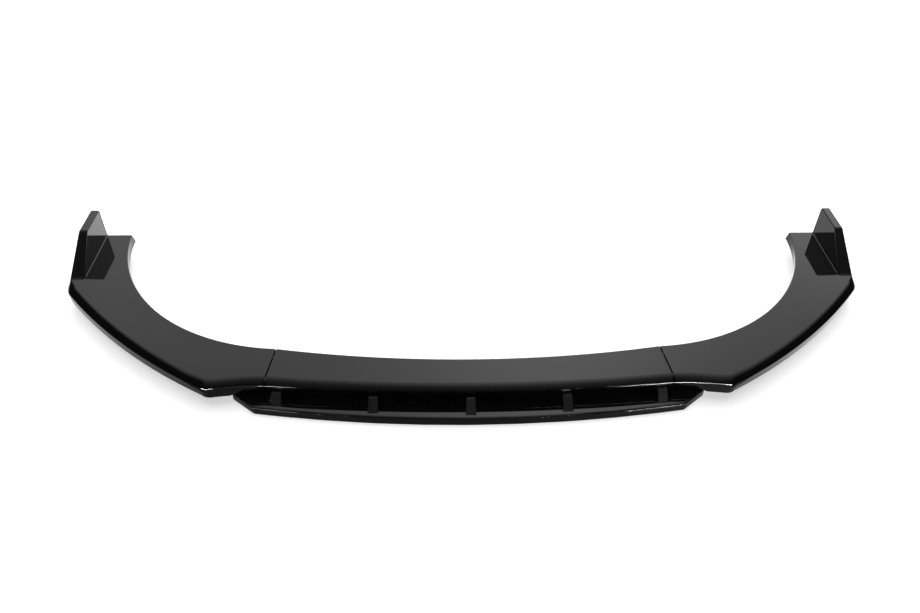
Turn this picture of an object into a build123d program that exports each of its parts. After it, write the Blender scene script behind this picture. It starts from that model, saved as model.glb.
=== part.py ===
# Bolt-on front bumper splitter: a centre lip, two wings with upright winglets and a lower splitter
# that stands off below the centre lip on five raked struts.
# Millimetres. X runs across the car, Y rearward, Z up. The flat tops that seat under the bumper are at
# z = 0. Plans are drawn with y = 0 at the middle of the front edge, and everything is then moved back
# so that the origin is the middle of the bumper seat.
import os
from math import cos, radians, sin, sqrt

from build123d import *

# Moulded skin and the rolled outer edge
wall = 3.0
rib_wall = 2.0
rib_depth = 10.0
roll_radius = 26.0
roll_angle = 45.0
flat_corner_radius = 1.0
flat_tip_radius = 12.0
outer_skirt = 33.0
inner_skirt = 18.0
skirt_setback = 10.0

# Centre lip
lip_depth = 82.0
lip_front_bow = 20.0
lip_rear_bow = 34.0
seam_half_front = 399.0
seam_half_rear = 388.0
seam_gap = 1.8
lip_rib_spacing = 94.0
lip_rib_count = 6

# Wings
wing_corner_x = 514.0
wing_corner_y = 11.0
wing_tip_x = 876.0
wing_tip_y = 313.0
wing_rear_y = 509.0
wing_rear_inner_x = 787.0
wing_front_radius = 632.0
wing_outer_radius = 1324.0
wing_inner_radius = 425.0
wing_rib_angles = (-62.0, -49.0, -36.0, -23.0)
notch_start = 41.0
notch_run = 26.0

# Winglets
winglet_height = 70.0
winglet_length = 166.0
winglet_rake = 85.0
winglet_base_width = 31.0
winglet_top_width = 18.5
winglet_edge_radius = 3.0
winglet_foot_radius = 4.0

# Tongue of each wing under the centre lip
tongue_length = 44.0
tongue_width = 50.0
tongue_rear_margin = 16.0
tongue_drop = 10.0
tongue_inset = 24.0
tongue_screw_spacing = 28.0
slot_length = 12.0
slot_width = 5.0

# Lower splitter
splitter_drop = 37.0
splitter_skirt = 19.0
splitter_reach = 43.0
splitter_bow = 34.0
splitter_half_front = 419.0
splitter_half_rear = 467.0
splitter_end_run = 39.0
splitter_rear_y = 60.0
splitter_corner_radius = 8.0
splitter_edge_radius = 3.0

# Struts of the lower splitter
strut_count = 5
strut_seam_margin = 24.0
strut_flare = 3.0
strut_foot_setback = 9.5
strut_top_lead = 7.0
strut_screw_setback = 24.0
strut_tail = 12.0

# Self-tapping screws, washers and the bosses that they turn into
boss_radius = 5.0
pilot_radius = 1.7
pilot_floor = 1.0
screw_root_radius = 1.55
screw_head_radius = 4.0
screw_head_height = 2.6
screw_head_round = 1.2
screw_tip = 1.5
screw_recess_width = 1.0
screw_recess_length = 4.4
screw_recess_depth = 1.4
seam_screw_length = 9.5
strut_screw_length = 14.0
washer_radius = 4.5
washer_bore_radius = 2.25
washer_thickness = 1.0
washer_clearance = 1.0

# Sizes that follow from the ones above
roll_run = roll_radius * sin(radians(roll_angle))
roll_overhang = roll_radius - roll_run
roll_drop = roll_radius - roll_radius * cos(radians(roll_angle))
seam_front_y = lip_front_bow
seam_rear_y = lip_depth + lip_rear_bow
strut_spacing = 2 * (seam_half_front - strut_seam_margin) / (strut_count - 1)
strut_top_width = 2 * (washer_radius + washer_clearance + wall)
strut_base_width = strut_top_width + strut_flare
seat_y = (roll_run + lip_depth) / 2
reach = 2 * wing_tip_x
margin = roll_radius + wall


def arc_radius(half_chord, rise):
    """Radius of an arc from its half chord and its rise."""
    return (half_chord**2 + rise**2) / (2 * rise)


def arc_center(start, end, radius):
    """Center, left of the way from start to end, of the circle of this radius through both."""
    chord = Vector(*end) - Vector(*start)
    middle = (Vector(*start) + Vector(*end)) * 0.5
    offset_length = sqrt(radius**2 - (chord.length / 2) ** 2)
    left = Vector(-chord.Y, chord.X) * (1 / chord.length)
    return middle + left * offset_length


lip_front_radius = arc_radius(seam_half_front, lip_front_bow)
lip_rear_radius = arc_radius(seam_half_rear, lip_rear_bow)
splitter_radius = arc_radius(splitter_half_front, splitter_bow)


def lip_front(x):
    """Front edge of the centre lip at this x."""
    return lip_front_radius - sqrt(lip_front_radius**2 - x**2)


def splitter_front(x):
    """Front rim of the lower splitter at this x."""
    return splitter_radius - sqrt(splitter_radius**2 - x**2) - splitter_reach


def seam_x(y):
    """Seam between the centre lip and the right wing at this y."""
    share = (y - seam_front_y) / (seam_rear_y - seam_front_y)
    return seam_half_front + (seam_half_rear - seam_half_front) * share


def seam_edges(shift):
    """Ends of the right seam line, well past the part and moved right by shift."""
    return [(seam_x(y) + shift, y) for y in (-wing_tip_x, wing_tip_x)]


def lip_plan(outward, inward, seam_shift):
    """Plan of the centre lip: outward moves its front edge out, inward its rear edge in."""
    near, far = seam_edges(seam_shift)
    between = make_face(Polyline(near, far, (-far[0], far[1]), (-near[0], near[1]), close=True))
    front = Pos(0, lip_front_radius) * Circle(lip_front_radius + outward)
    rear = Pos(0, lip_depth + lip_rear_radius) * Circle(lip_rear_radius + inward)
    return (between & front) - rear


def wing_plan(outward, inward):
    """Plan of the right wing: outward moves its show edges out, inward its other edges in."""
    seam_start = (seam_half_front, seam_front_y)
    corner = (wing_corner_x, wing_corner_y)
    tip = (wing_tip_x, wing_tip_y)
    inner_start = (seam_half_rear, seam_rear_y)
    inner_end = (wing_rear_inner_x, wing_rear_y)
    front_center = arc_center(corner, seam_start, wing_front_radius)
    outer_center = arc_center(corner, tip, wing_outer_radius)
    inner_center = arc_center(inner_start, inner_end, wing_inner_radius)
    blank = Pos(outer_center) * Circle(wing_outer_radius + outward)
    blank &= Pos(wing_tip_x + outward, wing_rear_y - inward) * Rectangle(
        reach, reach, align=(Align.MAX, Align.MAX)
    )
    near, far = seam_edges(seam_gap / 2 + inward)
    blank &= make_face(Polyline(near, (reach, near[1]), (reach, far[1]), far, close=True))
    blank -= Pos(front_center) * Circle(wing_front_radius - outward)
    blank -= Pos(inner_center) * Circle(wing_inner_radius + inward)
    plan = blank.faces().sort_by(Axis.X)[-1]
    corner_point = plan.vertices().sort_by_distance(corner)[0]
    plan = fillet(corner_point, flat_corner_radius + roll_run + outward)
    tip_point = plan.vertices().sort_by_distance(tip)[0]
    return fillet(tip_point, flat_tip_radius + roll_run + outward)


def rolled_form(plan, inset, depth):
    """Solid under a flat top at z = -inset, whose show edges roll over and end in a crease."""
    crown = extrude(plan(roll_overhang - inset, -margin), -depth - roll_radius)
    crown = fillet(crown.faces().sort_by(Axis.Z)[-1].edges(), roll_radius - inset)
    block = extrude(plan(-inset, inset), -depth)
    return Pos(0, 0, -inset) * (crown & block)


def box_between(low, high):
    """Box from its lowest corner to its highest."""
    size = [top - bottom for bottom, top in zip(low, high)]
    return Pos(*low) * Box(*size, align=Align.MIN)


def crossed(side, front, place_x):
    """Solid with one outline seen from the side (y, z) and another seen from the front (x, z)."""
    side_face = Plane.YZ * make_face(Polyline(*side, close=True))
    front_face = Plane.XZ * make_face(Polyline(*front, close=True))
    across = extrude(side_face, reach, both=True)
    along = extrude(front_face, reach, both=True)
    return Pos(place_x, 0, 0) * (across & along)


def shaft(x, y, low, high, radius):
    """Upright cylinder between two heights."""
    return Pos(x, y, low) * Cylinder(radius, high - low, align=(Align.CENTER, Align.CENTER, Align.MIN))


strut_places = [strut_spacing * (index - (strut_count - 1) / 2) for index in range(strut_count)]
strut_screws_at = [(x, lip_front(x) + strut_screw_setback) for x in strut_places]
tongue_high_y = seam_rear_y - tongue_rear_margin
tongue_low_y = tongue_high_y - tongue_width
tongue_mid_y = (tongue_low_y + tongue_high_y) / 2
seam_screw_ys = [tongue_mid_y - tongue_screw_spacing / 2, tongue_mid_y + tongue_screw_spacing / 2]
right_seam_screws = [(seam_x(y) - tongue_inset, y) for y in seam_screw_ys]
seam_screws_at = right_seam_screws + [(-x, y) for x, y in right_seam_screws]


def make_centre_lip():
    """Middle moulding: open ends that take the wings' tongues, with ribs and screw bosses below."""

    def outline(outward, inward):
        return lip_plan(outward, inward, -seam_gap / 2)

    def open_ended(outward, inward):
        return lip_plan(outward, inward, margin)

    cavity = rolled_form(open_ended, wall, outer_skirt)
    body = rolled_form(outline, 0, inner_skirt) - cavity
    for index in range(lip_rib_count):
        x = lip_rib_spacing * (index - (lip_rib_count - 1) / 2)
        rib = box_between(
            (x - rib_wall / 2, -reach, -wall - rib_depth),
            (x + rib_wall / 2, reach, -wall),
        )
        body += rib & cavity
    for x, y in strut_screws_at:
        body += shaft(x, y, -inner_skirt, -wall, boss_radius)
        body -= shaft(x, y, -inner_skirt, -wall - pilot_floor, pilot_radius)
    for x, y in seam_screws_at:
        body += shaft(x, y, -tongue_drop, -wall, boss_radius)
        body -= shaft(x, y, -tongue_drop, -wall - pilot_floor, pilot_radius)
    return body


def make_winglet(inset):
    """Upright winglet at the wing's outer rear end, or with an inset the hollow inside it."""
    root = -roll_drop
    rise = winglet_height + roll_drop
    lean = winglet_rake / winglet_height
    front_y = wing_rear_y - winglet_length + inset * sqrt(1 + lean**2)
    top = winglet_height - inset
    rear = wing_rear_y - inset
    side = [
        (front_y + lean * root, root),
        (front_y + lean * top, top),
        (rear, top),
        (rear, root),
    ]
    inner = wing_tip_x - winglet_base_width + inset
    outer_lean = (winglet_base_width - winglet_top_width) / rise
    front = [
        (inner, root),
        (wing_tip_x - inset, root),
        (wing_tip_x - inset - outer_lean * (rise - inset), top),
        (inner, top),
    ]
    return crossed(side, front, 0)


def make_right_wing():
    """Side moulding with its winglet, its deeper outer skirt and the tongue that the centre lip takes."""
    cavity = rolled_form(wing_plan, wall, outer_skirt)
    winglet = make_winglet(0)
    show_edges = winglet.edges().filter_by(lambda edge: edge.center().Z > 0)
    show_edges -= winglet.faces().sort_by(Axis.Y)[-1].edges()
    winglet = fillet(show_edges, winglet_edge_radius)
    body = rolled_form(wing_plan, 0, outer_skirt) + winglet
    inner_x = wing_tip_x - winglet_base_width
    foot = body.edges().filter_by_position(Axis.Z, -0.01, 0.01)
    foot = foot.filter_by(GeomType.LINE).filter_by_position(Axis.X, inner_x - 0.01, inner_x + 0.01)
    body = fillet(foot, winglet_foot_radius)
    body -= cavity
    body -= make_winglet(wall)
    low_skirt = extrude(wing_plan(0, 0), -outer_skirt) - Pos(0, 0, outer_skirt - inner_skirt) * extrude(
        wing_plan(0, 0), -outer_skirt
    )
    body -= Pos(-skirt_setback, skirt_setback, 0) * low_skirt
    notch_x = seam_half_front + notch_start
    notch = Plane.XZ * make_face(
        Polyline(
            (0, -inner_skirt),
            (notch_x, -inner_skirt),
            (notch_x + notch_run, -outer_skirt),
            (notch_x + notch_run, -reach),
            (0, -reach),
            close=True,
        )
    )
    body -= extrude(notch, tongue_low_y, both=True)
    inner_center = arc_center(
        (seam_half_rear, seam_rear_y), (wing_rear_inner_x, wing_rear_y), wing_inner_radius
    )
    spoke = box_between((0, -rib_wall / 2, -wall - rib_depth), (reach, rib_wall / 2, -wall))
    for angle in wing_rib_angles:
        body += (Pos(inner_center) * Rot(0, 0, angle) * spoke) & cavity
    tongue = box_between(
        (seam_x(tongue_mid_y) - tongue_length, tongue_low_y, -tongue_drop - wall),
        (seam_x(tongue_low_y) + wall, tongue_high_y, -tongue_drop),
    )
    body += tongue
    for x, y in right_seam_screws:
        slot = Pos(x, y) * SlotOverall(slot_length, slot_width)
        body -= Pos(0, 0, -tongue_drop - wall) * extrude(slot, wall)
    return body


def splitter_plan(inset):
    """Plan of the lower splitter: bowed front rim, ends cut back at an angle, straight rear."""
    front_y = splitter_bow - splitter_reach
    half = [
        (splitter_half_front, front_y),
        (splitter_half_rear, front_y + splitter_end_run),
        (splitter_half_rear, splitter_rear_y),
    ]
    other = [(-x, y) for x, y in reversed(half)]
    front = ThreePointArc(other[-1], (0, -splitter_reach), half[0])
    plan = make_face(front + Polyline(*half, *other))
    plan = fillet(plan.vertices(), splitter_corner_radius)
    return offset(plan, -inset) if inset else plan


def make_strut(x, inset):
    """Raked strut on the lower splitter at x, or with an inset the core that hollows it from below."""
    top = -inner_skirt - inset
    base = -splitter_drop - inset
    foot_y = splitter_front(x) + strut_foot_setback
    head_y = lip_front(x) - strut_top_lead
    tail_y = lip_front(x) + strut_screw_setback + strut_tail
    side = [
        (foot_y + 2 * inset, base),
        (head_y + inset, top),
        (tail_y - inset, top),
        (tail_y - inset, base),
    ]
    front = [
        (-strut_base_width / 2 + inset, base),
        (strut_base_width / 2 - inset, base),
        (strut_top_width / 2 - inset, top),
        (-strut_top_width / 2 + inset, top),
    ]
    return crossed(side, front, x)


def make_lower_splitter():
    """Lower moulding: a tray turned down at its edges, with hollow struts that carry it."""
    tray = extrude(splitter_plan(0), -splitter_skirt)
    tray = fillet(tray.faces().sort_by(Axis.Z)[-1].edges(), splitter_edge_radius)
    hollow = Pos(0, 0, -wall) * extrude(splitter_plan(wall), -splitter_skirt)
    body = Pos(0, 0, -splitter_drop) * (tray - hollow)
    for x in strut_places:
        body += make_strut(x, 0)
    for x, y in strut_screws_at:
        body -= make_strut(x, wall)
        body -= shaft(x, y, -inner_skirt - wall, -inner_skirt, slot_width / 2)
    return body


def make_screw(length):
    """Pan-head self-tapping screw, pointing up, with the underside of its head at z = 0."""
    head = shaft(0, 0, -screw_head_height, 0, screw_head_radius)
    head = fillet(head.edges().sort_by(Axis.Z)[0], screw_head_round)
    for turn in (0, 90):
        recess = Box(screw_recess_length, screw_recess_width, screw_recess_depth)
        head -= Pos(0, 0, -screw_head_height + screw_recess_depth / 2) * Rot(0, 0, turn) * recess
    shank = shaft(0, 0, 0, length, screw_root_radius)
    shank = chamfer(shank.edges().sort_by(Axis.Z)[-1], screw_tip, screw_root_radius / 2)
    return head + shank


def make_washer():
    """Flat washer whose top is at z = 0."""
    ring = Circle(washer_radius) - Circle(washer_bore_radius)
    return extrude(ring, -washer_thickness)


def spread(piece, places, height):
    """Copies of one piece at these places, all at one height."""
    return Compound([Pos(x, y, height) * piece for x, y in places])


tongue_underside = -tongue_drop - wall
strut_underside = -inner_skirt - wall
right_wing = make_right_wing()
pieces = {
    "centre_lip": make_centre_lip(),
    "left_wing": mirror(right_wing, about=Plane.YZ),
    "right_wing": right_wing,
    "lower_splitter": make_lower_splitter(),
    "seam_washers": spread(make_washer(), seam_screws_at, tongue_underside),
    "seam_screws": spread(make_screw(seam_screw_length), seam_screws_at, tongue_underside - washer_thickness),
    "strut_washers": spread(make_washer(), strut_screws_at, strut_underside),
    "strut_screws": spread(make_screw(strut_screw_length), strut_screws_at, strut_underside - washer_thickness),
}

os.makedirs("parts", exist_ok=True)
for name, piece in pieces.items():
    export_step(Pos(0, -seat_y, 0) * piece, f"parts/{name}.step")
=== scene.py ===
# Gloss black front splitter lip: a centre lip, two wings with winglets, and a lower splitter on five struts.
# Shapes are worked out in millimetres, with y = 0 at the middle of the lip's front edge, and go into their
# meshes in metres. They repeat the solids' sizes and add the small edge radii that catch the light.
from math import cos, radians, sin, sqrt, tan

import bmesh
import bpy
import numpy as np
from mathutils import Matrix, Vector
from mathutils.geometry import tessellate_polygon


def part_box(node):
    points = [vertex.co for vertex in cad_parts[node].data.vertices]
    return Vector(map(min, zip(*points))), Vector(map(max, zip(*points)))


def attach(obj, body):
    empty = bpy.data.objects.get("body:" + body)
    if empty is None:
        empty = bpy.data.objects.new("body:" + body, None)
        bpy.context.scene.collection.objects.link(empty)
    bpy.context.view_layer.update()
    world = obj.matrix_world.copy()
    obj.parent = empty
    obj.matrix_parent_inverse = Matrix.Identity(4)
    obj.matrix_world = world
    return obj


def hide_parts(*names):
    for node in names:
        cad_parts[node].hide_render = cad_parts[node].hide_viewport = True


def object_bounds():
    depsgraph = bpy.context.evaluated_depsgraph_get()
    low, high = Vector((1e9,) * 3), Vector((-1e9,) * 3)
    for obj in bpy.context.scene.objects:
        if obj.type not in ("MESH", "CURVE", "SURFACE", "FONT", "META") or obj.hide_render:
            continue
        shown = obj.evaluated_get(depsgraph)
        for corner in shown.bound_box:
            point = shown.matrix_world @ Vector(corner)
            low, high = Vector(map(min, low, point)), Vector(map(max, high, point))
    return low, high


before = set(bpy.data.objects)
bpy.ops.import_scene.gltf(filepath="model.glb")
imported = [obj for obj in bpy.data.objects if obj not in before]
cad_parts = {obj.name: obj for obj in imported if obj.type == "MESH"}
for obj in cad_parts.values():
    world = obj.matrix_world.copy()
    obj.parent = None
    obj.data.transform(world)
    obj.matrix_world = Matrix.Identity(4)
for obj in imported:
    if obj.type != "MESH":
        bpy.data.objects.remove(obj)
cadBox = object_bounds()
mm = 0.001
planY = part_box("centre_lip")[0].y / mm   # where the plans' y = 0 lies in the frame
print("frame loaded:", len(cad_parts), "nodes")

# The moulded skin and its rolled show edge
skin = {
    "wall": 3.0,
    "rollRadius": 26.0,
    "rollAngle": 45.0,
    "backEdge": 1.8,
    "rim": 2.3,           # bottom edges of the walls
    "rimInside": 0.4,
    "inside": 1.0,
    "innerSkirt": 18.0,
    "outerSkirt": 33.0,
    "seamEdge": 1.1,      # radius of the edges along the seams
    "rearEdge": 0.7,      # and at the wings' rear ends
    "ribWall": 2.0,
    "ribDepth": 10.0,
    "ribEdge": 0.4,
    "bossEdge": 0.3,
    "sink": 1.5,          # how far ribs and bosses go into the skin above them
    "pastRoll": 1.0,      # where the roll has turned into the flat top
    "footStep": 7.0,      # from there to the place of a winglet's foot
    "seamLean": 60.0,     # run over which the section turns into a seam's line
    "endFill": (10.0, 11.0, 14.0, 18.0, 24.0),   # how far in an end wall's corners lie from the show edge
    "endFillBack": 3.0,   # and past the inner wall
    "endStep": 0.05,      # between the two stations at the inner face of an end wall
}
wall = skin["wall"]
endSteps = np.array([0, 0.06, 0.2, 0.45, 0.75, 1])   # shares of an end's radius, with a station at each
rollRun = skin["rollRadius"] * sin(radians(skin["rollAngle"]))
rollDrop = skin["rollRadius"] * (1 - cos(radians(skin["rollAngle"])))
rollReach = skin["rollRadius"] * tan(radians(skin["rollAngle"] / 2))


# Vectors over their lengths
def unit(vectors):
    return vectors / np.linalg.norm(vectors, axis=-1, keepdims=True)


# The larger of two values, rounded over where they are within blend of each other
def smoothMax(a, b, blend):
    return np.maximum(a, b) + np.maximum(blend - np.abs(a - b), 0) ** 2 / (4 * blend)


# The smaller, in the same way
def smoothMin(a, b, blend):
    return -smoothMax(-a, -b, blend)


# Values from several even runs (start, end, count), in order and without repeats
def runs(*stretches):
    return np.unique(np.concatenate([np.linspace(*stretch) for stretch in stretches]))


# Centre, left of the way from start to end, of the circle of this radius through both
def arcCentre(start, end, radius):
    chord = end - start
    length = np.linalg.norm(chord)
    left = np.array([-chord[1], chord[0]]) / length
    return (start + end) / 2 + left * sqrt(radius**2 - (length / 2) ** 2)


# Where two circles cross, at the crossing nearer to a point
def circlesCross(first, firstRadius, second, secondRadius, near):
    apart = np.linalg.norm(second - first)
    along = (second - first) / apart
    reach = (firstRadius**2 - secondRadius**2 + apart**2) / (2 * apart)
    side = np.array([-along[1], along[0]]) * sqrt(firstRadius**2 - reach**2)
    middle = first + along * reach
    return min(middle + side, middle - side, key=lambda point: np.linalg.norm(point - near))


# Arc: centre + radius (cos a, sin a), with a going from start's angle to end's by shares from 0 to 1
def arcRun(centre, radius, start, end, shares, side=1):
    first, last = (np.arctan2(*(point - centre)[::-1]) for point in (start, end))
    turn = (last - first + np.pi) % (2 * np.pi) - np.pi
    angles = first + turn * shares
    ray = np.column_stack([np.cos(angles), np.sin(angles)])
    return centre + radius * ray, side * ray


# Each corner of a closed outline becomes an arc that touches both its sides:
# ((1-t)^2 start + 2wt(1-t) corner + t^2 end) / (sum of the weights), with w = cos(half the turn).
# Two arcs that want more of their side than the share fill between them are made smaller. One more point just
# outside each end of an arc, at most guard away, keeps the flat sides flat when they are shaded.
def roundedLoops(corners, radii, steps, guard=0.4, guardShare=0.4, least=0.1, fill=0.95):
    after = np.roll(corners, -1, axis=1) - corners
    length = np.linalg.norm(after, axis=2)
    after = unit(after)
    before = -np.roll(after, 1, axis=1)
    halfTurn = (np.pi - np.arccos(np.clip((before * after).sum(2), -1, 1))) / 2
    reach = np.maximum(radii * np.tan(halfTurn), least)
    share = np.minimum(1, fill * length / (reach + np.roll(reach, -1, axis=1)))
    reach = reach * np.minimum(share, np.roll(share, 1, axis=1))
    spare = length - reach - np.roll(reach, -1, axis=1)
    reach, weight = reach[..., None], np.cos(halfTurn)[..., None]
    start, end = corners + before * reach, corners + after * reach
    which = np.repeat(np.arange(len(steps)), np.array(steps) + 2)
    t = np.concatenate([np.r_[0, np.linspace(0, 1, count), 1] for count in steps])[None, :, None]
    outside = np.concatenate([np.r_[-1, np.zeros(count), 1] for count in steps])[None, :, None]
    first, middle, last = (1 - t) ** 2, 2 * weight[:, which] * t * (1 - t), t**2
    points = first * start[:, which] + middle * corners[:, which] + last * end[:, which]
    points = points / (first + middle + last)
    room = np.minimum(guard, guardShare * spare)[..., None]
    ahead, behind = after * room, before * np.roll(room, 1, axis=1)
    return points + np.where(outside < 0, behind[:, which], ahead[:, which]) * np.abs(outside)


# How far a surface is let down at this distance from its end, which is rounded: r - sqrt(r^2 - (r - d)^2)
def roundedEnd(distance, radius):
    return radius - np.sqrt(radius**2 - np.clip(radius - distance, 0, radius) ** 2)


# Closed surface over loops of points: quads between neighbouring loops, and each end closed by quads
# from the first half of its loop across to the second half, or no ends where the path itself closes
def loft(loops, closed=False):
    stations, count = loops.shape[:2]
    grid = np.arange(stations * count).reshape(stations, count)
    path = np.vstack([grid, grid[:1]]) if closed else grid
    beside = np.roll(path, -1, axis=1)
    quads = [np.stack([path[:-1], path[1:], beside[1:], beside[:-1]], axis=-1).reshape(-1, 4)]
    if not closed:
        half = np.arange(count // 2 - 1)
        for row in (grid[0], grid[-1]):
            ends = [row[half], row[half + 1], row[count - 2 - half], row[count - 1 - half]]
            quads.append(np.stack(ends, axis=-1))
    return loops.reshape(-1, 3), np.concatenate(quads)


# Mesh object from surfaces given as (points, faces, how far each point belongs to the underside)
def makePiece(name, surfaces, sharpAngle=38):
    points = np.concatenate([surface[0] for surface in surfaces])
    starts = np.cumsum([0] + [len(surface[0]) for surface in surfaces])
    faces = []
    for start, surface in zip(starts, surfaces):
        faces += (np.asarray(surface[1]) + start).tolist()
    mesh = bpy.data.meshes.new(name)
    mesh.from_pydata(((points + (0, planY, 0)) * mm).tolist(), [], faces)
    under = mesh.attributes.new("underside", "FLOAT", "POINT")
    under.data.foreach_set("value", np.concatenate([surface[2] for surface in surfaces]).astype(np.float32))
    work = bmesh.new()
    work.from_mesh(mesh)
    bmesh.ops.recalc_face_normals(work, faces=work.faces)
    work.to_mesh(mesh)
    work.free()
    mesh.shade_smooth()
    mesh.set_sharp_from_angle(angle=radians(sharpAngle))
    piece = bpy.data.objects.new(name, mesh)
    bpy.context.scene.collection.objects.link(piece)
    print(name, "has", len(mesh.polygons), "faces")
    return piece


# Section of a moulding at every station along its show edge. The section's corners are given by how far
# they lie in from the edge and by their height, and the loop of corners is rounded.
#   edge, out       crease points and their outward directions
#   back, backOut   points of the inner edge and their directions into the moulding
#   slide           how far the section leans along the edge per millimetre inwards
#   skirt           height of the outer wall's rim
#   crease          radius where the roll ends and the wall starts
#   undercut        how far in the wall's rim lies from the crease
#   flare           how far out the inner wall's rim lies from the inner edge
#   drop            how far the skin is let down at its rounded ends
#   rise, height    0 to 1 where the winglet grows out of the rolled edge, and its height there
#   core            height of the hollow inside it
#   solid           1 where an end wall fills the section
def mouldingLoops(edge, out, back, backOut, slide, skirt, crease, undercut, flare, drop,
                  rise, height, core, solid):
    edge = edge - out * drop[:, None]
    back = back + backOut * drop[:, None]
    along = np.column_stack([-out[:, 1], out[:, 0]])
    inwards = along * slide[:, None] - out
    lean = (winglet["baseWidth"] - winglet["topWidth"]) / (winglet["height"] + rollDrop)
    innerRoll = skin["rollRadius"] - wall
    innerCrease = sqrt(innerRoll**2 - (rollRun - wall) ** 2) - skin["rollRadius"]
    innerReach = innerRoll * tan(np.arcsin((rollRun - wall) / innerRoll) / 2)
    base, edgeRadius, footRadius = winglet["baseWidth"], winglet["edgeRadius"], winglet["footRadius"]
    low, fill = -skin["innerSkirt"], skin["endFill"]
    softened = crease * (1 - sin(radians(skin["rollAngle"])))   # room for the crease's radius
    flatStart = rollRun + skin["pastRoll"] + softened

    # From the plain section's value to the winglet's
    def grown(plain, raised):
        return plain + (raised - plain) * rise

    # From the hollow section's value to an end wall's
    def filled(hollow, full):
        return hollow + (full - hollow) * solid

    # Corners from the flat top over the show edge to the ceiling: how far in, height, radius and steps
    shown = [
        (grown(flatStart, base), grown(0, height) - drop, grown(0, edgeRadius), 7),
        (grown(rollRun - rollReach + softened, lean * (height + rollDrop)), grown(0, height) - drop,
         grown(skin["rollRadius"], edgeRadius), 15),
        (0, grown(-rollDrop - softened, -rollDrop) - drop, grown(crease, skin["inside"]), 10),
        (undercut, skirt, skin["rim"], 6),
        (filled(undercut + wall, fill[0]), skirt, skin["rimInside"], 4),
        (filled(wall, fill[1]), filled(innerCrease - softened, low), skin["inside"], 8),
        (filled(grown(rollRun - innerReach + softened, lean * (core + rollDrop) + wall), fill[2]),
         filled(grown(-wall, core), low), grown(innerRoll, skin["inside"]), 15),
        (filled(grown(flatStart, base - wall), fill[3]), filled(grown(-wall, core), low), skin["inside"], 7),
    ]

    # Points at this distance in from the show edge
    def inset(distance):
        return edge + inwards * np.broadcast_to(distance, len(edge))[:, None]

    # A foot lies just inside the roll, towards the inner edge, and goes to the winglet's where that rises
    def foot(line, width):
        plain = line + unit(back - line) * skin["footStep"]
        return plain + (inset(width) - plain) * rise[:, None]

    spots = [(inset(distance), z, radius, steps) for distance, z, radius, steps in shown]
    underFoot = foot(spots[-1][0], base - wall)
    underFoot = underFoot + (inset(fill[4]) - underFoot) * solid[:, None]
    spots = ([(foot(spots[0][0], base), -drop, grown(0, footRadius), 7)] + spots
             + [(underFoot, filled(-wall, low), skin["inside"], 7)])
    across = unit(spots[0][0] - back)
    across = across / (across * backOut).sum(1)[:, None]
    tail = [
        (filled(wall, wall + skin["endFillBack"]), filled(-wall, low), skin["inside"], 6),
        (wall - flare, low, skin["rimInside"], 4),
    ]
    head = [
        (-flare, low, skin["rimInside"], 4),
        (0, -drop, skin["backEdge"], 6),
    ]
    rear = [(back + across * np.broadcast_to(distance, len(edge))[:, None], z, radius, steps)
            for distance, z, radius, steps in head + tail]
    spots = rear[:2] + spots + rear[2:]
    corners = np.stack([np.column_stack([flat, np.broadcast_to(z, len(edge))])
                        for flat, z, _, _ in spots], axis=1)
    radii = np.stack([np.broadcast_to(radius, len(edge)) for _, _, radius, _ in spots], axis=1)
    steps = [spot[3] for spot in spots]
    loops = roundedLoops(corners, radii, steps)
    half = loops.shape[1] // 2
    under = np.broadcast_to(np.arange(loops.shape[1]) >= half, loops.shape[:2]).reshape(-1)
    return (*loft(loops), under)


# Upright rib under the skin: a thin rounded section carried along the points, with its top inside the skin
def rib(path, tops):
    aside = np.array([-(path[-1] - path[0])[1], (path[-1] - path[0])[0]])
    aside = aside / np.linalg.norm(aside) * skin["ribWall"] / 2
    low = np.full(len(path), -wall - skin["ribDepth"])
    corners = np.stack([
        np.column_stack([path - aside, low]),
        np.column_stack([path - aside, tops]),
        np.column_stack([path + aside, tops]),
        np.column_stack([path + aside, low]),
    ], axis=1)
    loops = roundedLoops(corners, np.full(corners.shape[:2], skin["ribEdge"]), [3, 3, 3, 3], guard=0.1)
    return (*loft(loops), np.ones(loops.shape[0] * loops.shape[1]))


# Round boss with a bore: a rounded section turned about its axis
def boss(x, y, end, radius=5.0, bore=1.7, count=32):
    angles = np.linspace(0, 2 * np.pi, count, endpoint=False)
    ray = np.column_stack([np.cos(angles), np.sin(angles), np.zeros(count)])
    place = np.array([x, y, 0.0])
    corners = np.stack([place + ray * r + (0, 0, z) for r, z in
                        [(radius, -skin["sink"]), (radius, end), (bore, end), (bore, -skin["sink"])]], axis=1)
    loops = roundedLoops(corners, np.full(corners.shape[:2], skin["bossEdge"]), [3, 3, 3, 3], guard=0.1)
    return (*loft(loops, closed=True), np.ones(loops.shape[0] * loops.shape[1]))


# Flat plate between two heights with holes: outlines filled top and bottom, and a wall round each outline
def plate(outlines, low, high):
    flat = np.concatenate(outlines)
    count = len(flat)
    points = np.vstack([np.column_stack([flat, np.full(count, z)]) for z in (low, high)])
    fill = np.array(tessellate_polygon([[(x, y, 0) for x, y in outline] for outline in outlines]))
    ring = np.arange(count)
    starts = np.cumsum([len(outline) for outline in outlines])[:-1]
    ahead = np.concatenate([np.roll(part, -1) for part in np.split(ring, starts)])
    lowWall = np.column_stack([ring, ahead, ahead + count])
    highWall = np.column_stack([ring, ahead + count, ring + count])
    faces = np.concatenate([fill, fill[:, ::-1] + count, lowWall, highWall])
    return points, faces


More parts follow.
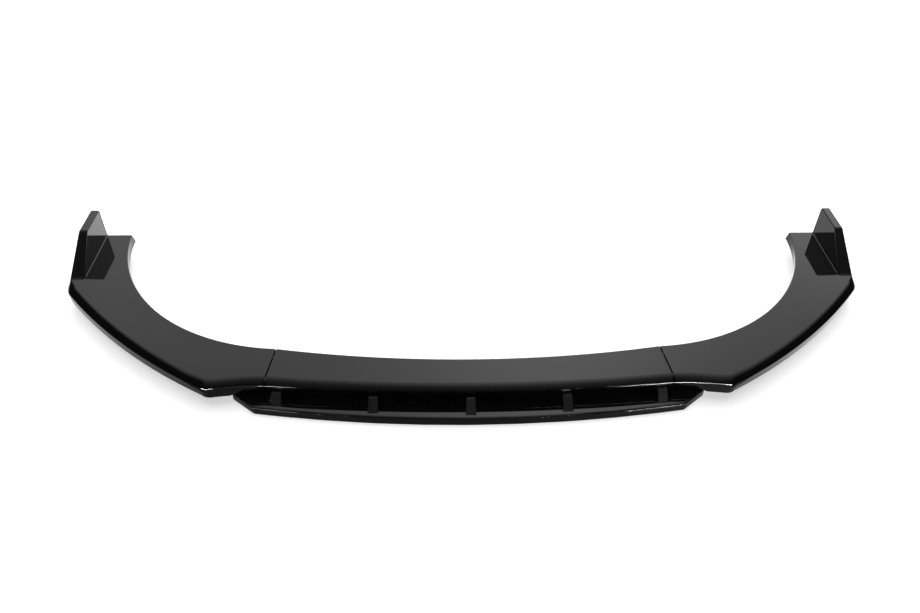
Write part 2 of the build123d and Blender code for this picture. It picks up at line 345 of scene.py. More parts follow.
# Centre lip: the section runs from seam to seam along the bowed front edge
lip = {
    "depth": 82.0,
    "frontBow": 20.0,
    "rearBow": 34.0,
    "seamFront": (399.0, 20.0),
    "seamRear": (388.0, 116.0),
    "seamGap": 1.8,
    "crease": ((-397, -330, 265, 385), (6.0, 0.2, 0.2, 6.0)),   # radius at each x
    "stations": 97,
    "ribSpacing": 94.0,
    "ribCount": 6,
}


# Radius of an arc from half its chord and its rise: (c^2 + h^2) / 2h
def arcRadius(halfChord, rise):
    return (halfChord**2 + rise**2) / (2 * rise)


seamFront, seamRear = np.array(lip["seamFront"]), np.array(lip["seamRear"])
seamLine = unit(seamRear - seamFront)
frontRadius = arcRadius(seamFront[0], lip["frontBow"])
rearRadius = arcRadius(seamRear[0], lip["rearBow"])
frontCentre = np.array([0, frontRadius])
rearCentre = np.array([0, lip["depth"] + rearRadius])

# The wings' sizes, and the winglets that stand on their outer rear ends
wing = {
    "corner": (514.0, 11.0),
    "tip": (876.0, 313.0),
    "rearY": 509.0,
    "rearInnerX": 787.0,
    "frontRadius": 632.0,
    "outerRadius": 1324.0,
    "innerRadius": 425.0,
    "flatCorner": 7.0,
    "flatTip": 36.0,
    # radius of the crease, and lean of the outer wall, at each x
    "crease": ((400, 440, 475, 491, 514, 524, 560), (7.5, 6.0, 3.0, 2.5, 14.0, 14.0, 2.0)),
    "undercut": ((503, 523, 876), (0.0, 4.0, 1.0)),
    "notchStart": 41.0,
    "notchRun": 26.0,
    "flare": 5.0,             # of the inner wall at the rear end
    "flareRun": 140.0,
    "ribAngles": (-62.0, -49.0, -36.0, -23.0),
    "stations": (24, 15, 49, 13),   # along the front, the corner, the outer arc and the tip
}
winglet = {
    "height": 70.0,
    "length": 166.0,
    "rake": 85.0,
    "baseWidth": 31.0,
    "topWidth": 18.5,
    "edgeRadius": 3.0,
    "footRadius": 4.0,
    "footBlend": (32.0, 3.0),     # run ahead of and behind the foot over which the rolled edge turns into it
    "footRun": 10.0,              # stations are close together up to this far past the foot
    "topRun": 8.0,                # and this far to both sides of the rake's top end
    "stations": (45, 8, 25, 9),   # from the tip to past the foot, on the rake, round its top end, to the rear
}


# The lip's front edge at x: R - sqrt(R^2 - x^2)
def lipFront(x):
    return frontRadius - np.sqrt(frontRadius**2 - x**2)


# How far a section at a seam leans along the edge, so that it lies in the seam's line
def seamSlide(out):
    along = np.array([-out[1], out[0]])
    return (seamLine * along).sum() / (seamLine * -out).sum()


# The section at even shares of the front and rear arcs, with more stations at its rounded ends
def makeCentreLip():
    start = seamFront - (lip["seamGap"] / 2, 0)
    half, lean = start[0], skin["seamLean"]
    close = skin["seamEdge"] * endSteps / (2 * half)
    shares = np.r_[close, np.linspace(0, 1, lip["stations"])[1:-1], 1 - close[::-1]]
    edge, out = arcRun(frontCentre, frontRadius, start * (-1, 1), start, shares)
    rearStart = seamRear - (lip["seamGap"] / 2, 0)
    back, backOut = arcRun(rearCentre, rearRadius, rearStart * (-1, 1), rearStart, shares)
    slide = seamSlide(out[-1]) * np.interp(edge[:, 0], (-half, lean - half, half - lean, half), (-1, 0, 0, 1))
    flat = np.zeros(len(edge))
    crease = np.interp(edge[:, 0], *lip["crease"])
    drop = roundedEnd(half - np.abs(edge[:, 0]), skin["seamEdge"])
    skirt = flat - skin["innerSkirt"]
    surfaces = [mouldingLoops(edge, out, back, backOut, slide, skirt, crease, flat, flat, drop,
                              flat, flat, flat - wall, flat)]
    for index in range(lip["ribCount"]):
        x = lip["ribSpacing"] * (index - (lip["ribCount"] - 1) / 2)
        rearY = lip["depth"] + rearRadius - sqrt(rearRadius**2 - x**2)
        surfaces.append(underRib(np.array([x, rearY]), np.array([x, lipFront(x)])))
    surfaces += [boss(x, lipFront(x) + struts["screwSetback"], -skin["innerSkirt"]) for x in strutPlaces]
    surfaces += [boss(side * x, y, -tongue["drop"]) for x, y in seamScrews for side in (-1, 1)]
    return makePiece("centreLipMoulding", surfaces)


# Rib from the inner edge's wall to the show edge's wall, dropping with the roll at its outer end
def underRib(back, front):
    reach = unit(back - front)
    path = np.stack([back - reach * wall / 2, front + reach * rollRun, front + reach * wall / 2])
    return rib(path, np.array([-skin["sink"], -skin["sink"], -rollDrop]))


# Show edge of the right wing from the seam to the rear end: concave front, rounded corner, long outer arc,
# rounded tip and a straight side
def wingEdge():
    corner, tip = np.array(wing["corner"]), np.array(wing["tip"])
    cornerRadius, tipRadius = wing["flatCorner"] + rollRun, wing["flatTip"] + rollRun
    frontMiddle = arcCentre(corner, seamFront, wing["frontRadius"])
    outerMiddle = arcCentre(corner, tip, wing["outerRadius"])
    cornerMiddle = circlesCross(frontMiddle, wing["frontRadius"] + cornerRadius,
                                outerMiddle, wing["outerRadius"] - cornerRadius, corner)
    tipX = tip[0] - tipRadius
    tipY = outerMiddle[1] - sqrt((wing["outerRadius"] - tipRadius) ** 2 - (tipX - outerMiddle[0]) ** 2)
    tipMiddle = np.array([tipX, tipY])
    cornerStart = frontMiddle + unit(cornerMiddle - frontMiddle) * wing["frontRadius"]
    cornerEnd = outerMiddle + unit(cornerMiddle - outerMiddle) * wing["outerRadius"]
    tipStart = outerMiddle + unit(tipMiddle - outerMiddle) * wing["outerRadius"]
    tipEnd = tipMiddle + (tipRadius, 0)
    seamStart = seamFront + (lip["seamGap"] / 2, 0)
    frontLength = np.linalg.norm(cornerStart - seamStart)
    close = skin["seamEdge"] * endSteps / frontLength
    rearY = wing["rearY"]
    footY = rearY - winglet["length"]
    topY = footY + winglet["rake"]
    footEnd = footY + winglet["footRun"]
    topStart, topEnd = topY - winglet["topRun"], topY + winglet["topRun"]
    toFoot, onRake, roundTop, onTop = winglet["stations"]
    sideY = runs((tipY, footEnd, toFoot), (footEnd, topStart, onRake), (topStart, topEnd, roundTop),
                 (topEnd, rearY - wall - skin["endStep"], onTop))
    sideY = np.r_[sideY, rearY - np.r_[wall, skin["rearEdge"] * endSteps[::-1]]]
    straight = len(sideY) - 1
    onFront, onCorner, onOuter, onTip = wing["stations"]
    pastWall = np.linspace((wall + skin["endStep"]) / frontLength, 1, onFront)
    parts = [
        arcRun(frontMiddle, wing["frontRadius"], seamStart, cornerStart,
               np.r_[close, wall / frontLength, pastWall], side=-1),
        arcRun(cornerMiddle, cornerRadius, cornerStart, cornerEnd, np.linspace(0, 1, onCorner)[1:]),
        arcRun(outerMiddle, wing["outerRadius"], cornerEnd, tipStart, np.linspace(0, 1, onOuter)[1:]),
        arcRun(tipMiddle, tipRadius, tipStart, tipEnd, np.linspace(0, 1, onTip)[1:]),
        (np.column_stack([np.full(straight, tip[0]), sideY[1:]]), np.tile([1.0, 0.0], (straight, 1))),
    ]
    edge = np.concatenate([part[0] for part in parts])
    out = np.concatenate([part[1] for part in parts])
    solid = np.zeros(len(edge))
    walled = len(endSteps) + 1
    solid[:walled] = solid[-walled:] = 1
    return edge, out, solid


# The section along the show edge, with the inner arc's points at the same shares of the turn about its
# centre. The winglet climbs straight, (y - foot) * height / rake, and is rounded over at its foot and top.
def makeRightWing():
    edge, out, solid = wingEdge()
    seamStart = seamRear + (lip["seamGap"] / 2, 0)
    rearEnd = np.array([wing["rearInnerX"], wing["rearY"]])
    middle = arcCentre(seamRear, rearEnd, wing["innerRadius"])
    ray = edge - middle
    turn = np.arctan2(ray[:, 1], ray[:, 0])
    shares = (turn - turn[0]) / (turn[-1] - turn[0])
    back, backOut = arcRun(middle, wing["innerRadius"], seamStart, rearEnd, shares)
    travelled = np.r_[0, np.cumsum(np.linalg.norm(np.diff(edge, axis=0), axis=1))]
    slide = seamSlide(out[0]) * np.clip(1 - travelled / skin["seamLean"], 0, 1)
    notch = seamFront[0] + wing["notchStart"]
    skirt = np.interp(edge[:, 0], (notch, notch + wing["notchRun"]),
                      (-skin["innerSkirt"], -skin["outerSkirt"]))
    footY = wing["rearY"] - winglet["length"]
    climb = (edge[:, 1] - footY) * winglet["height"] / winglet["rake"]
    height = smoothMin(smoothMax(climb, 0, winglet["footRadius"]), winglet["height"], winglet["edgeRadius"])
    thick = wall * sqrt(1 + (winglet["height"] / winglet["rake"]) ** 2)
    core = smoothMax(climb - thick, -wall, skin["inside"])
    core = smoothMin(core, winglet["height"] - wall, skin["inside"])
    ahead, behind = winglet["footBlend"]
    past = travelled - np.interp(footY, edge[:, 1], travelled)
    rise = np.clip((past + ahead) / (ahead + behind), 0, 1)
    rise = rise * rise * (3 - 2 * rise)   # smooth at both ends
    crease = np.interp(edge[:, 0], *wing["crease"])
    undercut = np.interp(edge[:, 0], *wing["undercut"])
    flare = wing["flare"] * np.interp(wing["rearY"] - back[:, 1], (0, wing["flareRun"]), (1, 0)) ** 2
    drop = roundedEnd(travelled, skin["seamEdge"]) + roundedEnd(wing["rearY"] - edge[:, 1], skin["rearEdge"])
    surfaces = [mouldingLoops(edge, out, back, backOut, slide, skirt, crease, undercut, flare, drop,
                              rise, height, core, solid)]
    for angle in np.radians(wing["ribAngles"]):
        spoke = np.array([cos(angle), sin(angle)])
        far = np.interp(angle, turn, np.linalg.norm(ray, axis=1))
        surfaces.append(underRib(middle + spoke * wing["innerRadius"], middle + spoke * far))
    surfaces.append(makeTongue())
    return surfaces


# Tongue of the wing under the centre lip, with a slot for each screw
tongue = {
    "length": 44.0,
    "width": 50.0,
    "rearMargin": 16.0,
    "drop": 10.0,
    "inset": 24.0,
    "screwSpacing": 28.0,
    "slotLength": 12.0,
    "slotWidth": 5.0,
    "corner": 3.0,
    "rootCorner": 0.3,
}
tongueHigh = seamRear[1] - tongue["rearMargin"]
tongueMiddle = tongueHigh - tongue["width"] / 2


# The seam's line at y
def seamX(y):
    return seamFront[0] + (seamRear[0] - seamFront[0]) * (y - seamFront[1]) / (seamRear[1] - seamFront[1])


seamScrews = [(seamX(y) - tongue["inset"], y) for y in
              (tongueMiddle - tongue["screwSpacing"] / 2, tongueMiddle + tongue["screwSpacing"] / 2)]


# A rounded plate, with slots that are two half circles joined by straight sides
def makeTongue():
    near = seamX(tongueMiddle) - tongue["length"]
    far = seamX(tongueMiddle) + wall
    low = tongueHigh - tongue["width"]
    square = np.array([[[near, low, 0], [far, low, 0], [far, tongueHigh, 0], [near, tongueHigh, 0]]])
    radii = np.array([[tongue[key] for key in ("corner", "rootCorner", "rootCorner", "corner")]])
    outline = roundedLoops(square, radii, [7, 2, 2, 7])[0, :, :2]
    turns = np.linspace(-np.pi / 2, np.pi / 2, 13)
    cap = np.column_stack([np.cos(turns), np.sin(turns)]) * tongue["slotWidth"] / 2
    shift = np.array([(tongue["slotLength"] - tongue["slotWidth"]) / 2, 0])
    slot = np.vstack([cap + shift, -cap - shift])
    slots = [slot + place for place in seamScrews]
    points, faces = plate([outline] + slots, -tongue["drop"] - wall, -tongue["drop"])
    return points, faces, np.ones(len(points))


# Lower splitter: the section runs across the car, and its struts are places where the section rises
tray = {
    "top": -37.0,
    "bottom": -56.0,
    "reach": 43.0,
    "bow": 34.0,
    "halfFront": 419.0,
    "halfRear": 467.0,
    "endRun": 39.0,
    "rearY": 60.0,
    "cornerRadius": 8.0,
    "frontCorner": 1.4,           # where the front meets the ends
    "edge": 3.0,
    "roll": 2.4,                  # drop of the rolled front edge, which ends in a crease
    "crease": ((310, 390, 425), (0.3, 2.6, 3.0)),   # its radius at each distance from the middle
    "endFill": (4.0, 5.0),        # how far in an end wall's corners lie from the front edge
    "endFillBack": (3.0, 2.0),    # and from the rear edge
    "endStations": ((400, 412, 3), (415, 424, 10), (430, 455, 4)),   # runs towards an end: from, to and count
    "cornerStations": (458, 9),   # start and count of the last run, up to the end's wall
    "edgeStations": 7,            # round the end's edge
}
struts = {
    "count": 5,
    "seamMargin": 24.0,
    "topHalf": 8.5,
    "baseHalf": 10.0,
    "footSetback": 9.5,
    "topLead": 7.0,
    "screwSetback": 24.0,
    "tail": 12.0,
    "foot": 2.5,
    "headEdge": 5.0,
    "tailEdge": 1.5,
    "satinAndPaintedShade": 0.45,              # share of the underside's finish on their faces; their tops get painted shade
    "blend": 0.12,              # rounding of their sides at the foot and the head, as a share of the height
    "apart": 1.5,               # least distance between corners of the section where no strut stands
    "margin": (4.0, 8.5),       # least distance of those corners from the tray's front and rear edges
    "inner": (0.0, 3.0, 4.6),   # stations from a strut's middle outwards
    "sides": (5.2, 11.5, 38),   # close together over its sides: from, to and count
    "outer": 15.0,              # and on the tray beside it
    "sideUp": (0.03, 0.97),     # shares of the height between which a station lies on a side
    "facePoints": 4,            # points of the head's and the foot's corners that belong to the face
}
strutPlaces = np.linspace(-1, 1, struts["count"]) * (seamFront[0] - struts["seamMargin"])
trayRadius = arcRadius(tray["halfFront"], tray["bow"])


# The tray's front edge at x, an arc as the lip's is
def trayFront(x):
    return trayRadius - np.sqrt(trayRadius**2 - x**2) - tray["reach"]


# Front and rear edges of the tray's plan at each x, moved in by inset: a bowed front that meets straight
# ends, and corner arcs that stand upright at the ends
def trayEdges(x, inset):
    x = np.abs(x)
    slope = tray["endRun"] / (tray["halfRear"] - tray["halfFront"])
    steep = sqrt(1 + slope**2)
    frontY = tray["bow"] - tray["reach"]
    end = frontY + slope * (x - tray["halfFront"]) + inset * steep
    front = smoothMax(trayFront(x) + inset, end, tray["frontCorner"])
    radius = tray["cornerRadius"]
    cornerX = tray["halfRear"] - radius
    cornerY = frontY + slope * (cornerX - tray["halfFront"]) + radius * steep
    arc = np.sqrt(np.maximum((radius - inset) ** 2 - (x - cornerX) ** 2, 0))
    touch = cornerX + (radius - inset) * slope / steep
    front = np.where(x > touch, cornerY - arc, front)
    rearY = tray["rearY"]
    rear = np.where(x > cornerX, rearY - radius + arc, rearY - inset)
    return front, rear


# The section at stations across the car. up goes from 0 to 1 over a strut's side, core over its hollow's, and
# they lift the section's top and its ceiling.
def makeLowerSplitter():
    half, edge, roll = tray["halfRear"], tray["edge"], tray["roll"]
    nearStrut = np.r_[struts["inner"], np.linspace(*struts["sides"]), struts["outer"]]
    spots = [place + side * nearStrut for place in strutPlaces for side in (-1, 1)]
    cornerStart, cornerCount = tray["cornerStations"]
    ends = np.r_[runs(*tray["endStations"], (cornerStart, half - wall - skin["endStep"], cornerCount)),
                 half - wall, half - edge * np.cos(np.linspace(0, np.pi / 2, tray["edgeStations"]))]
    between = (strutPlaces[1:] + strutPlaces[:-1]) / 2
    x = np.unique(np.round(np.concatenate(spots + [between, ends, -ends]), 4))
    place = strutPlaces[np.abs(x[:, None] - strutPlaces).argmin(1)]
    apart = np.abs(x - place)
    slope = struts["baseHalf"] - struts["topHalf"]
    up = smoothMax((struts["baseHalf"] - apart) / slope, 0, struts["blend"])
    up = smoothMin(up, 1, struts["blend"])
    core = np.clip((struts["baseHalf"] - wall - apart) / slope, 0, 1)
    solid = (np.abs(x) >= half - wall).astype(float)
    front, rear = trayEdges(x, 0)
    frontIn, rearIn = trayEdges(np.clip(x, wall - half, half - wall), wall)
    top = tray["top"] - (edge - np.sqrt(np.maximum(edge**2 - np.maximum(np.abs(x) - half + edge, 0) ** 2, 0)))
    rise = -skin["innerSkirt"] - tray["top"]
    foot = trayFront(place) + struts["footSetback"]
    head = lipFront(place) - struts["topLead"]
    tail = lipFront(place) + struts["screwSetback"] + struts["tail"]
    gap = struts["apart"]
    frontMargin, rearMargin = struts["margin"]

    # Keeps the struts' corners inside the tray, and in order where its ends leave no room for them
    def held(y, order):
        return np.clip(y, front + frontMargin + gap * order, rear - rearMargin + gap * order)

    # From the hollow section's value to an end wall's
    def filled(hollow, full):
        return hollow + (full - hollow) * solid

    ceiling = tray["top"] - wall
    low = tray["bottom"]
    rollArc = roll / tan(radians(45 / 2)) * sqrt(2)   # radius of one arc over the whole rolled edge
    fillFront, fillRear = tray["endFill"], tray["endFillBack"]
    # Corners from the rear rim over the top, round the front and back under the ceiling: y, height, radius
    # and steps
    section = [
        (rear, low, skin["rimInside"], 4),
        (rear, top, edge, 6),
        (held(tail + gap * (1 - up), 3), top, struts["foot"], 6),
        (held(tail - gap * (1 - up), 2), top + rise * up, struts["tailEdge"], 6),
        (held(foot + (head - foot) * up + gap * (1 - up), 1), top + rise * up, struts["headEdge"], 6),
        (held(foot - gap * (1 - up), 0), top, struts["foot"], 6),
        (front + roll, top, rollArc, 9),
        (front, top - roll, np.interp(np.abs(x), *tray["crease"]), 5),
        (front, low, skin["rim"], 6),
        (filled(frontIn, front + fillFront[0]), low, skin["rimInside"], 4),
        (filled(frontIn, front + fillFront[1]), filled(ceiling, low), skin["inside"], 6),
        (held(foot + 2 * wall - gap * (1 - core), 0), filled(ceiling, low), skin["inside"], 6),
        (held(foot + 2 * wall + (head - foot - wall) * core + gap * (1 - core), 1),
         filled(ceiling + rise * core, low), skin["inside"], 6),
        (held(tail - wall - gap * (1 - core), 2), filled(ceiling + rise * core, low), skin["inside"], 6),
        (held(tail - wall + gap * (1 - core), 3), filled(ceiling, low), skin["inside"], 6),
        (filled(rearIn, rear - fillRear[0]), filled(ceiling, low), skin["inside"], 6),
        (filled(rearIn, rear - fillRear[1]), low, skin["rimInside"], 4),
    ]
    corners = np.stack([np.column_stack([x, y, np.broadcast_to(z, len(x))])
                        for y, z, _, _ in section], axis=1)
    radii = np.stack([np.full(len(x), radius) for _, _, radius, _ in section], axis=1)
    loops = roundedLoops(corners, radii, [spot[3] for spot in section])
    order = np.arange(loops.shape[1])
    counts = np.cumsum([spot[3] + 2 for spot in section])   # points up to the end of each corner
    under = np.broadcast_to(1.0 * (order >= loops.shape[1] // 2), loops.shape[:2])
    # Satin on front faces and sides, dark gloss on tops: partly a finish, partly painted shade under the lip
    footUp, headUp = struts["sideUp"]
    standing, sloping = (up > footUp)[:, None], (up < headUp)[:, None]
    reach = struts["facePoints"]
    face = (order >= counts[4] - reach) & (order < counts[4] + reach)   # from a strut's head to its foot
    side = (order >= counts[2]) & (order < counts[5]) & sloping
    under = np.where((face | side) & standing, struts["satinAndPaintedShade"], under).reshape(-1)
    return makePiece("lowerSplitterMoulding", [(*loft(loops), under)])


centreLip = makeCentreLip()
wingSurfaces = makeRightWing()
rightWing = makePiece("rightWingMoulding", wingSurfaces)
leftSurfaces = [(points * (-1, 1, 1), faces, under) for points, faces, under in wingSurfaces]
leftWing = makePiece("leftWingMoulding", leftSurfaces)
lowerSplitter = makeLowerSplitter()
mouldings = {
    "centre_lip": centreLip,
    "right_wing": rightWing,
    "left_wing": leftWing,
    "lower_splitter": lowerSplitter,
}
for node, piece in mouldings.items():
    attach(piece, "root")
    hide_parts(node)


# Wraps a socket so that shader maths reads as an expression
class Wire:
    def __init__(self, tree, socket=None):
        self.tree = tree
        self.socket = socket

    def node(self, kind, settings=None, inputs=None, output=0):
        made = self.tree.nodes.new(kind)
        for key, value in (settings or {}).items():
            if key == "stops":
                while len(made.color_ramp.elements) < len(value):
                    made.color_ramp.elements.new(0.5)
                for element, (position, shade) in zip(made.color_ramp.elements, value):
                    element.position = position
                    element.color = (shade, shade, shade, 1) if np.isscalar(shade) else (*shade, 1)
            else:
                setattr(made, key, value)
        for key, value in (inputs or {}).items():
            if isinstance(value, Wire):
                self.tree.links.new(value.socket, made.inputs[key])
            else:
                made.inputs[key].default_value = value
        return Wire(self.tree, made.outputs[output]) if len(made.outputs) else None

    # Another output of the node that this socket belongs to
    def output(self, name):
        return Wire(self.tree, self.socket.node.outputs[name])

    def maths(self, operation, *values):
        return self.node("ShaderNodeMath", {"operation": operation}, dict(enumerate(values)))

    def __add__(self, other):
        return self.maths("ADD", self, other)

    __radd__ = __add__

    def __sub__(self, other):
        return self.maths("SUBTRACT", self, other)

    def __rsub__(self, other):
        return self.maths("SUBTRACT", other, self)

    def __mul__(self, other):
        return self.maths("MULTIPLY", self, other)

    __rmul__ = __mul__

    def __truediv__(self, other):
        return self.maths("DIVIDE", self, other)

    # 0 below low, 1 above high and smooth between
    def ramp(self, low, high):
        settings = {"interpolation_type": "SMOOTHSTEP", "clamp": True}
        return self.node("ShaderNodeMapRange", settings, {"Value": self, "From Min": low, "From Max": high})

    def noise(self, scale, detail=2.0, roughness=0.5):
        inputs = {"Vector": self, "Scale": scale, "Detail": detail, "Roughness": roughness}
        return self.node("ShaderNodeTexNoise", None, inputs)

    # Mix of two colours
    def blend(self, low, high, share):
        return self.node("ShaderNodeMix", {"data_type": "RGBA"}, {"Factor": share, 6: low, 7: high}, 2)


def newMaterial(name):
    material = bpy.data.materials.new(name)
    material.use_nodes = True
    material.node_tree.nodes.clear()
    return material, Wire(material.node_tree)


# Piano-black moulded plastic, polished where it shows and left as moulded underneath
gloss = {
    "colour": (0.0026, 0.0026, 0.0029, 1),
    "dust": (0.011, 0.011, 0.011, 1),
    "under": (0.014, 0.014, 0.0145, 1),
    "underGrain": (0.024, 0.024, 0.0245, 1),
    "ior": 1.46,
    "polish": 0.045,              # roughness of the show side
    "smudge": 0.035,              # more where it has been handled
    "smudges": (7.0, 4.0, 0.6),   # scale per metre, detail and roughness of the noise
    "smudgeTurn": (0.45, 0.75),   # values of the noise between which they appear
    "streaks": (55.0, 3.0, 0.65),
    "streakTurn": (0.5, 0.8),
    "specks": 160.0,              # cells with a speck of dust, per metre
    "speckSize": (0.03, 0.06),
    "speckRough": 0.06,
    "patches": 11.0,              # where the dust lies
    "patchTurn": (0.52, 0.62),
    "underTurn": (0.2, 0.8),      # how far a point belongs to the underside where the finish changes
    "underPolish": 0.4,
    "underRough": 0.12,
    "peel": (420.0, 1.0),         # waves of the polished skin: scale per metre and detail of the noise
    "peelDepth": 0.000004,
    "grain": (2600.0, 3.0, 0.6),  # moulded grain of the underside
    "grainDepth": 0.00006,
}


def glossBlack():
    material, wire = newMaterial("glossBlack")
    place = wire.node("ShaderNodeTexCoord", None, None, "Object")
    under = wire.node("ShaderNodeAttribute", {"attribute_name": "underside"}, None, "Fac")
    under = under.ramp(*gloss["underTurn"])
    smudges = place.noise(*gloss["smudges"]).ramp(*gloss["smudgeTurn"])
    streaks = place.noise(*gloss["streaks"]).ramp(*gloss["streakTurn"])
    specks = wire.node("ShaderNodeTexVoronoi", None, {"Vector": place, "Scale": gloss["specks"]}, "Distance")
    specks = 1 - specks.ramp(*gloss["speckSize"])
    specks = specks * place.noise(gloss["patches"]).ramp(*gloss["patchTurn"])
    grain = place.noise(*gloss["grain"])
    peel = place.noise(*gloss["peel"])
    shown = wire.blend(gloss["colour"], gloss["dust"], specks)
    moulded = wire.blend(gloss["under"], gloss["underGrain"], grain)
    rough = gloss["polish"] + gloss["smudge"] * smudges * streaks + gloss["speckRough"] * specks
    rough = rough * (1 - under) + (gloss["underPolish"] + gloss["underRough"] * grain) * under
    height = peel * gloss["peelDepth"] * (1 - under) + grain * gloss["grainDepth"] * under
    relief = wire.node("ShaderNodeBump", None, {"Strength": 1.0, "Distance": 1.0, "Height": height})
    shader = wire.node("ShaderNodeBsdfPrincipled", None, {
        "Base Color": wire.blend(shown, moulded, under),
        "Roughness": rough,
        "IOR": gloss["ior"],
        "Normal": relief,
    })
    wire.node("ShaderNodeOutputMaterial", None, {"Surface": shader})
    return material


# Bright zinc plate of the screws and washers, with its faint crystal pattern
zinc = {
    "pale": (0.68, 0.68, 0.66, 1),
    "dull": (0.46, 0.46, 0.44, 1),
    "polish": (0.24, 0.46),
    "crystals": 900.0,            # per metre
    "clouds": (260.0, 4.0, 0.6),  # scale per metre, detail and roughness of the noise
    "mix": (0.5, 0.7),            # shares of crystals and clouds
    "mixTurn": (0.2, 0.95),       # values of that sum between which pale turns to dull
    "grainDepth": 0.00002,
}


def zincPlate():
    material, wire = newMaterial("zincPlate")
    place = wire.node("ShaderNodeTexCoord", None, None, "Object")
    crystals = wire.node("ShaderNodeTexVoronoi", None, {"Vector": place, "Scale": zinc["crystals"]}, "Color")
    crystals = wire.node("ShaderNodeSeparateColor", None, {0: crystals})
    clouds = place.noise(*zinc["clouds"])
    share = (crystals * zinc["mix"][0] + clouds * zinc["mix"][1]).ramp(*zinc["mixTurn"])
    height = clouds * zinc["grainDepth"]
    relief = wire.node("ShaderNodeBump", None, {"Strength": 1.0, "Distance": 1.0, "Height": height})
    shader = wire.node("ShaderNodeBsdfPrincipled", None, {
        "Base Color": wire.blend(zinc["pale"], zinc["dull"], share),
        "Roughness": share * (zinc["polish"][1] - zinc["polish"][0]) + zinc["polish"][0],
        "Metallic": 1.0,
        "Normal": relief,
    })
    wire.node("ShaderNodeOutputMaterial", None, {"Surface": shader})
    return material


black, plated = glossBlack(), zincPlate()
for piece in mouldings.values():
    piece.data.materials.append(black)
for node in ("seam_screws", "seam_washers", "strut_screws", "strut_washers"):
    for slot in bpy.data.objects[node].material_slots:
        slot.material = plated
print("materials made")

# White paper floor at the lowest point of the part. Glossy rays see it as a painted glow, no lamp, bright
# behind the part, more so to the left, with painted shade falling off to the front, as the light on it does.
floor = {
    "size": 14.0,
    "paper": (0.85, 0.85, 0.85, 1),
    "lift": 0.55,
    # near to far: strength of the painted glow, painted shade in front of the part and painted light behind
    # it
    "near": 0.18,
    "far": 1.7,
    "turn": (-0.1, 0.9),      # metres over which near turns to far
    "spread": (0.2, 0.15),    # how much sooner it turns to both sides, and to the right
    "behind": (0.42, 0.52),   # where it starts to be brighter to the left
    "toLeft": 0.65,
    "least": 0.2,             # of that change, to the right
}


# Painted glow to glossy rays: (near + (far - near) * reach) * change to the left.
# To the camera: lit paper and a lift.
def makeFloor():
    mesh = bpy.data.meshes.new("floor")
    corners = np.array([[-1, -1], [1, -1], [1, 1], [-1, 1]]) * floor["size"] / 2
    mesh.from_pydata(np.column_stack([corners, np.full(4, cadBox[0].z)]).tolist(), [], [(0, 1, 2, 3)])
    sheet = bpy.data.objects.new("floor", mesh)
    bpy.context.scene.collection.objects.link(sheet)
    material, wire = newMaterial("paper")
    place = wire.node("ShaderNodeTexCoord", None, None, "Object")
    x = wire.node("ShaderNodeSeparateXYZ", None, {0: place})
    y = x.output("Y")
    rays = wire.node("ShaderNodeLightPath", None, None, "Is Camera Ray")
    both, right = floor["spread"]
    # The glow's strength, no lamp: painted shade to the front and painted light behind, more to the left
    reach = (y + both * wire.maths("ABSOLUTE", x) + right * x).ramp(*floor["turn"])
    turned = wire.maths("MAXIMUM", 1 - floor["toLeft"] * x * y.ramp(*floor["behind"]), floor["least"])
    strength = (floor["near"] + reach * (floor["far"] - floor["near"])) * turned
    paintedMirrorGlow = wire.node("ShaderNodeEmission", None, {"Color": (1, 1, 1, 1), "Strength": strength})
    diffuse = wire.node("ShaderNodeBsdfDiffuse", None, {"Color": floor["paper"]})
    lift = wire.node("ShaderNodeEmission", None, {"Color": (1, 1, 1, 1), "Strength": rays * floor["lift"]})
    paper = wire.node("ShaderNodeAddShader", None, {0: diffuse, 1: lift})
    share = wire.maths("MAXIMUM", rays.output("Is Glossy Ray"), rays.output("Is Transmission Ray"))
    share = share * (1 - rays)
    shader = wire.node("ShaderNodeMixShader", None, {0: share, 1: paper, 2: paintedMirrorGlow})
    wire.node("ShaderNodeOutputMaterial", None, {"Surface": shader})
    mesh.materials.append(material)


makeFloor()

# Studio: a broad white panel behind and above the part, a low glow in front, dark at the sides, and white
# to the camera
studio = {
    "panel": 1.1,
    "dome": 0.025,
    "fromFrontToBack": [(0.0, 0.0), (0.14, 0.012), (0.228, 0.06), (0.313, 0.115), (0.413, 0.17), (0.5, 0.25),
                        (0.587, 0.42), (0.671, 0.58), (0.743, 0.68), (0.815, 0.82), (0.845, 1.0),
                        (0.88, 0.98), (1.0, 0.95)],
    "lamp": (0.9, 0.13, 0.19),      # strength, place and spread of the bright spot across the panel
    "low": (0.4, 2.0),              # more light low down at the back, and how much more of it to the right
    "lowHeight": (0.62, 0.46),
    "middle": 0.04,                 # of the panel, from left to right
    "edge": (0.4, 0.66),            # where the panel fades out to each side of its middle
    "glow": 1.6,
    "glowHeight": (0.27, 0.13),     # middle and spread
    "glowFront": (0.86, 0.94),      # how far to the front it starts
}


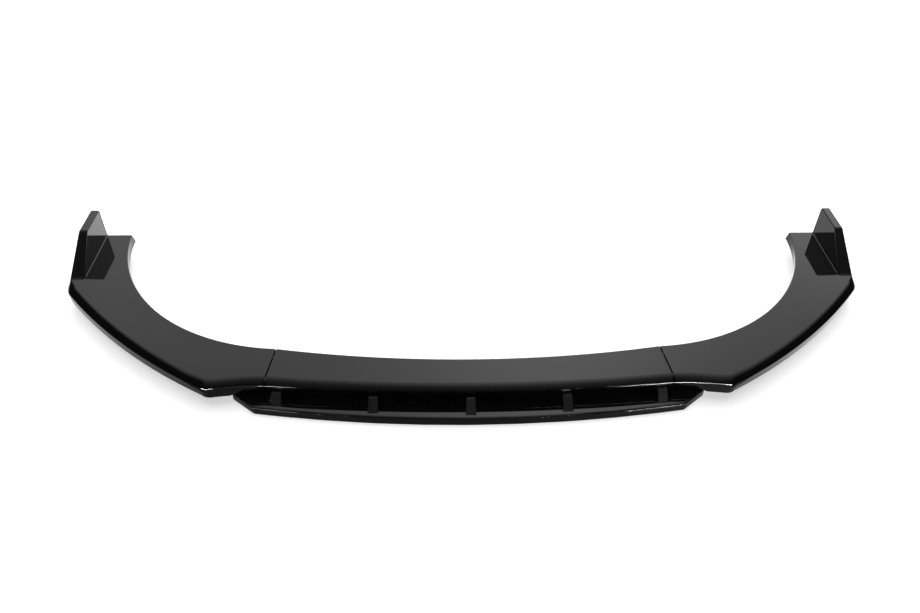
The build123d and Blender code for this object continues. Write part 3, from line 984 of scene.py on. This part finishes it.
# panel = depth(y) * across(x) * (strength + spot(x) + low(z, x))
# glow = front(y) * exp(-((z - middle) / spread)^2) * strength
def makeStudio():
    world = bpy.data.worlds.new("studio")
    world.use_nodes = True
    world.node_tree.nodes.clear()
    bpy.context.scene.world = world
    sky = Wire(world.node_tree)
    direction = sky.node("ShaderNodeTexCoord", None, None, "Generated")
    x = sky.node("ShaderNodeSeparateXYZ", None, {0: direction})
    y, z = x.output("Y"), x.output("Z")
    depth = sky.node("ShaderNodeValToRGB", {"stops": studio["fromFrontToBack"]}, {0: (y + 1) / 2})
    across = 1 - sky.maths("ABSOLUTE", x - studio["middle"]).ramp(*studio["edge"])
    spot = (x - studio["lamp"][1]) / studio["lamp"][2]
    spot = sky.maths("EXPONENT", spot * spot * -1) * studio["lamp"][0]
    low = z.ramp(*studio["lowHeight"]) * studio["low"][0] * (1 + studio["low"][1] * x)
    panel = depth * across * (studio["panel"] + spot + low)
    aside = (z - studio["glowHeight"][0]) / studio["glowHeight"][1]
    glow = sky.maths("EXPONENT", aside * aside * -1) * (-1 * y).ramp(*studio["glowFront"]) * studio["glow"]
    camera = sky.node("ShaderNodeLightPath", None, None, "Is Camera Ray")
    shade = sky.maths("MAXIMUM", panel + glow + studio["dome"], camera)
    background = sky.node("ShaderNodeBackground", None, {"Color": (1, 1, 1, 1), "Strength": shade})
    sky.node("ShaderNodeOutputWorld", None, {"Surface": background})


makeStudio()

# Lamps: a wide soft key from above and behind for the floor, and two low strips in front that only glint
lamps = {
    "key": {
        "kind": "SUN",
        "energy": 1.5,
        "angle": 80.0,
        "place": (0.0, 0.7, 2.6),
        "hidden": "visible_glossy",
    },
    "rightStrip": {
        "kind": "AREA",
        "energy": 125.0,
        "size": (1.5, 0.12),
        "place": (1.2, -2.3, 0.46),
        "hidden": "visible_diffuse",
    },
    "leftStrip": {
        "kind": "AREA",
        "energy": 130.0,
        "size": (2.27, 0.16),
        "place": (-1.96, -2.5, 0.45),
        "hidden": "visible_diffuse",
    },
}


# A lamp that points at the origin, with hidden naming the kind of ray that doesn't see it
def addLamp(name, kind, energy, place, hidden, size=None, angle=None):
    data = bpy.data.lights.new(name, kind)
    data.energy = energy
    if size:
        data.shape = "RECTANGLE"
        data.size, data.size_y = size
    if angle:
        data.angle = radians(angle)
    lamp = bpy.data.objects.new(name, data)
    bpy.context.scene.collection.objects.link(lamp)
    lamp.location = place
    lamp.rotation_euler = (-Vector(place)).to_track_quat("-Z", "Y").to_euler()
    setattr(lamp, hidden, False)


for name, settings in lamps.items():
    addLamp(name, **settings)
print("studio lit")

# Camera at the photograph's angle, for a picture 920 pixels wide
view = {
    "place": (-57.5, -1055.8, 1116.0),   # in the plans' millimetres
    "pitch": 40.68,
    "yaw": 1.86,
    "roll": 0.85,
    "focal": 800.0,                      # in pixels
    "width": 920.0,
    "sensor": 36.0,
}


# The camera's axes from its pitch below the horizon, its yaw to the right and its roll
def addCamera():
    pitch, yaw, roll = (radians(view[key]) for key in ("pitch", "yaw", "roll"))
    forward = np.array([sin(yaw) * cos(pitch), cos(yaw) * cos(pitch), -sin(pitch)])
    level = np.array([cos(yaw), -sin(yaw), 0])
    over = np.array([sin(yaw) * sin(pitch), cos(yaw) * sin(pitch), cos(pitch)])
    right = cos(roll) * level + sin(roll) * over
    up = cos(roll) * over - sin(roll) * level
    data = bpy.data.cameras.new("camera")
    data.sensor_fit = "HORIZONTAL"
    data.sensor_width = view["sensor"]
    data.lens = data.sensor_width * view["focal"] / view["width"]
    camera = bpy.data.objects.new("camera", data)
    bpy.context.scene.collection.objects.link(camera)
    place = (np.array(view["place"]) + (0, planY, 0)) * mm
    axes = np.column_stack([right, up, -forward, place])
    camera.matrix_world = Matrix(np.vstack([axes, [0, 0, 0, 1]]).tolist())
    bpy.context.scene.camera = camera


addCamera()
bpy.context.scene.view_settings.view_transform = "Standard"
